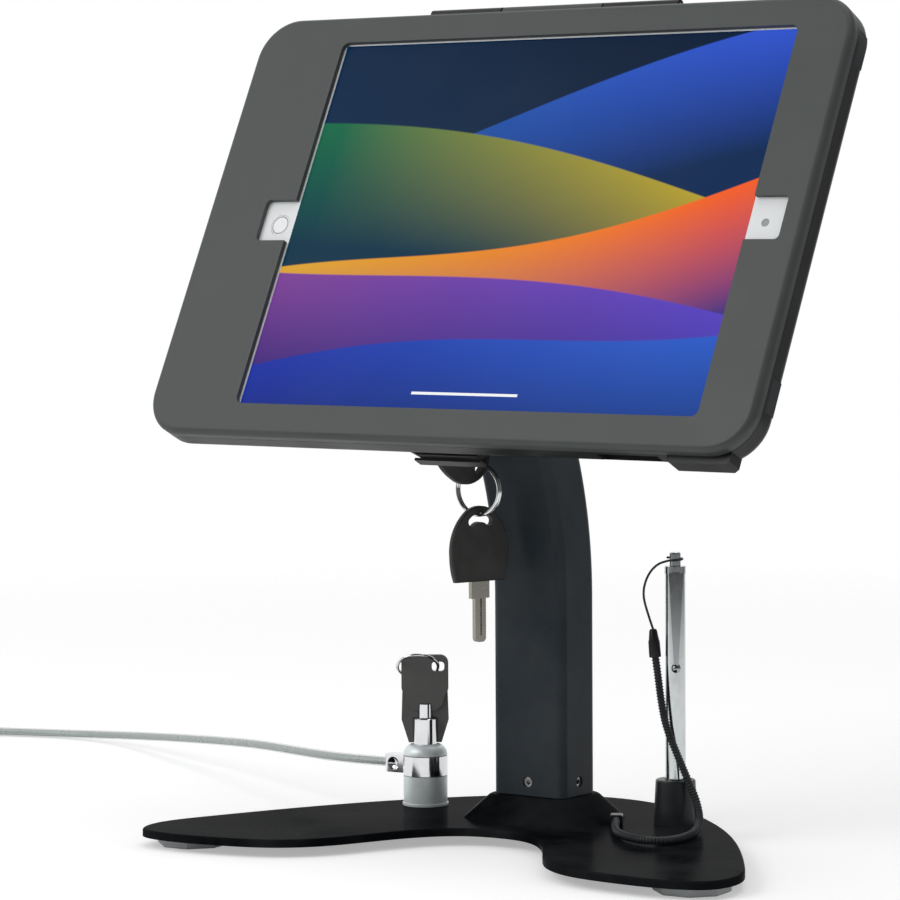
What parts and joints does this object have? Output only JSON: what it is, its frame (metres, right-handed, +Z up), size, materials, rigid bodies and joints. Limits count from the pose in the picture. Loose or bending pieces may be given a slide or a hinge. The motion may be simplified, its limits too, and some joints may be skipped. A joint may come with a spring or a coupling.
{
  "type": "tablet security kiosk stand",
  "caption": "Counter-top kiosk stand: a steel case locks a tablet on a tilting, turning curved column over a boomerang base plate, with keys, a security cable and a tethered pen",
  "frame": {"origin": "On the floor plane under the middle of the rear foot", "axes": "+Z up, the screen faces -Y, +X to the right as the screen is seen; the base plate is turned 5.33 degrees anticlockwise under the column"},
  "size_m": [0.6374, 0.2149, 0.3185],
  "materials": {
    "black_steel": "gloss black powder coat",
    "slate_steel": "gloss dark slate powder coat",
    "frame_grey": "satin dark grey powder coat",
    "shell_black": "satin black powder coat",
    "bright_steel": "bright zinc-plated steel",
    "chrome": "polished chrome",
    "satin_silver": "satin silver",
    "black_plastic": "moulded plastic",
    "grey_rubber": "matt grey rubber",
    "clear_cable": "clear vinyl over steel strands",
    "tablet_metal": "fine blasted aluminium",
    "dark_glass": "polished black glass",
    "screen": "lit display"
  },
  "bodies": {
    "base": {"base_plate": "black_steel", "front_feet": "grey_rubber", "rear_foot": "grey_rubber", "swivel_post": "bright_steel", "post_bolt": "bright_steel", "cable_lock_barrel": "satin_silver", "pen_cup": "black_plastic", "cup_screw": "bright_steel", "tether_anchor": "slate_steel", "tether_sheath": "black_plastic", "tether_cap": "black_plastic", "tether_string": "black_plastic"},
    "column": {"column_tube": "slate_steel", "column_foot_bush": "black_plastic", "set_screws": "bright_steel", "column_head": "slate_steel", "tilt_pin": "bright_steel", "tilt_nut": "bright_steel", "tilt_washers": "bright_steel"},
    "arm": {"tilt_arm": "slate_steel"},
    "case": {"rear_shell": "shell_black", "rotary_disc": "shell_black", "plate_screws": "bright_steel", "centre_stud": "bright_steel", "swivel_washers": "bright_steel", "stud_nut": "bright_steel", "hinge_pin": "bright_steel", "case_pads": "grey_rubber", "cable_spacer": "black_plastic", "tablet_body": "tablet_metal", "tablet_glass": "dark_glass", "screen_panel": "screen", "camera_lens": "dark_glass", "lock_housing": "shell_black", "lock_barrel": "chrome", "keeper_plate": "shell_black"},
    "button": {"home_button": "dark_glass"},
    "door": {"front_frame": "frame_grey", "locking_tongue": "bright_steel"},
    "case_key": {"lock_plug": "chrome", "lock_cam": "bright_steel", "case_key_head": "black_plastic", "case_key_blade": "bright_steel"},
    "ring": {"key_ring": "bright_steel"},
    "spare_key": {"spare_key_head": "black_plastic", "spare_key_blade": "bright_steel"},
    "collar": {"lock_collar": "chrome", "security_cable": "clear_cable", "cable_coil": "clear_cable", "eye_ferrule": "satin_silver", "cable_eye": "clear_cable"},
    "cable_key": {"cable_key_tube": "satin_silver", "cable_key_head": "black_plastic", "lock_tee": "bright_steel"},
    "cable_ring": {"cable_key_ring": "bright_steel"},
    "pen": {"pen_barrel": "chrome", "pen_cap": "chrome", "pen_clip": "chrome"}
  },
  "joints": [
    {"name": "column_swivel", "type": "hinge", "parent": "base", "child": "column", "pos_m": [0.00372, -0.03983, 0.03], "axis": [0, 0, 1], "range_deg": [-45, 45]},
    {"name": "head_tilt", "type": "hinge", "parent": "column", "child": "arm", "pos_m": [0.00372, -0.07441, 0.18968], "axis": [-1, 0, 0], "range_deg": [-1, 48]},
    {"name": "case_rotation", "type": "hinge", "parent": "arm", "child": "case", "pos_m": [0.00372, -0.0596, 0.22802], "axis": [0, 0.8933, -0.4495], "range_deg": [-90, 90]},
    {"name": "door_hinge", "type": "hinge", "parent": "case", "child": "door", "pos_m": [0.00372, -0.03089, 0.31623], "axis": [-1, 0, 0], "range_deg": [0, 100]},
    {"name": "case_lock_key", "type": "hinge", "parent": "case", "child": "case_key", "pos_m": [-0.00428, -0.09247, 0.15668], "axis": [0, 0.8933, -0.4495], "range_deg": [0, 78]},
    {"name": "home_button_press", "type": "slide", "parent": "case", "child": "button", "axis": [0, 0.8933, -0.4495], "range_m": [0, 0.0003], "stiffness_N_per_m": 350},
    {"name": "key_ring_swing", "type": "hinge", "parent": "case_key", "child": "ring", "pos_m": [-0.00428, -0.07138, 0.14433], "axis": [-1, 0, 0], "range_deg": [-2, 25]},
    {"name": "spare_key_swing", "type": "hinge", "parent": "ring", "child": "spare_key", "pos_m": [-0.00428, -0.07138, 0.12513], "axis": [-1, 0, 0], "range_deg": [-2, 8]},
    {"name": "cable_collar_swivel", "type": "hinge", "parent": "base", "child": "collar", "pos_m": [-0.05255, -0.04061, 0.0225], "axis": [0, 0, 1], "range_deg": [-20, 20]},
    {"name": "cable_lock_turn", "type": "hinge", "parent": "base", "child": "cable_key", "pos_m": [-0.05255, -0.04061, 0.031], "axis": [0, 0, 1], "range_deg": [-90, 0]},
    {"name": "cable_ring_swing", "type": "hinge", "parent": "cable_key", "child": "cable_ring", "pos_m": [-0.04834, -0.03756, 0.0614], "axis": [0.8108, 0.5854, 0], "range_deg": [0, 10]},
    {"name": "pen_lift", "type": "slide", "parent": "base", "child": "pen", "axis": [0, 0, 1], "range_m": [0, 0.03], "deforming": ["tether_sheath", "tether_cap", "tether_string"]}
  ]
}
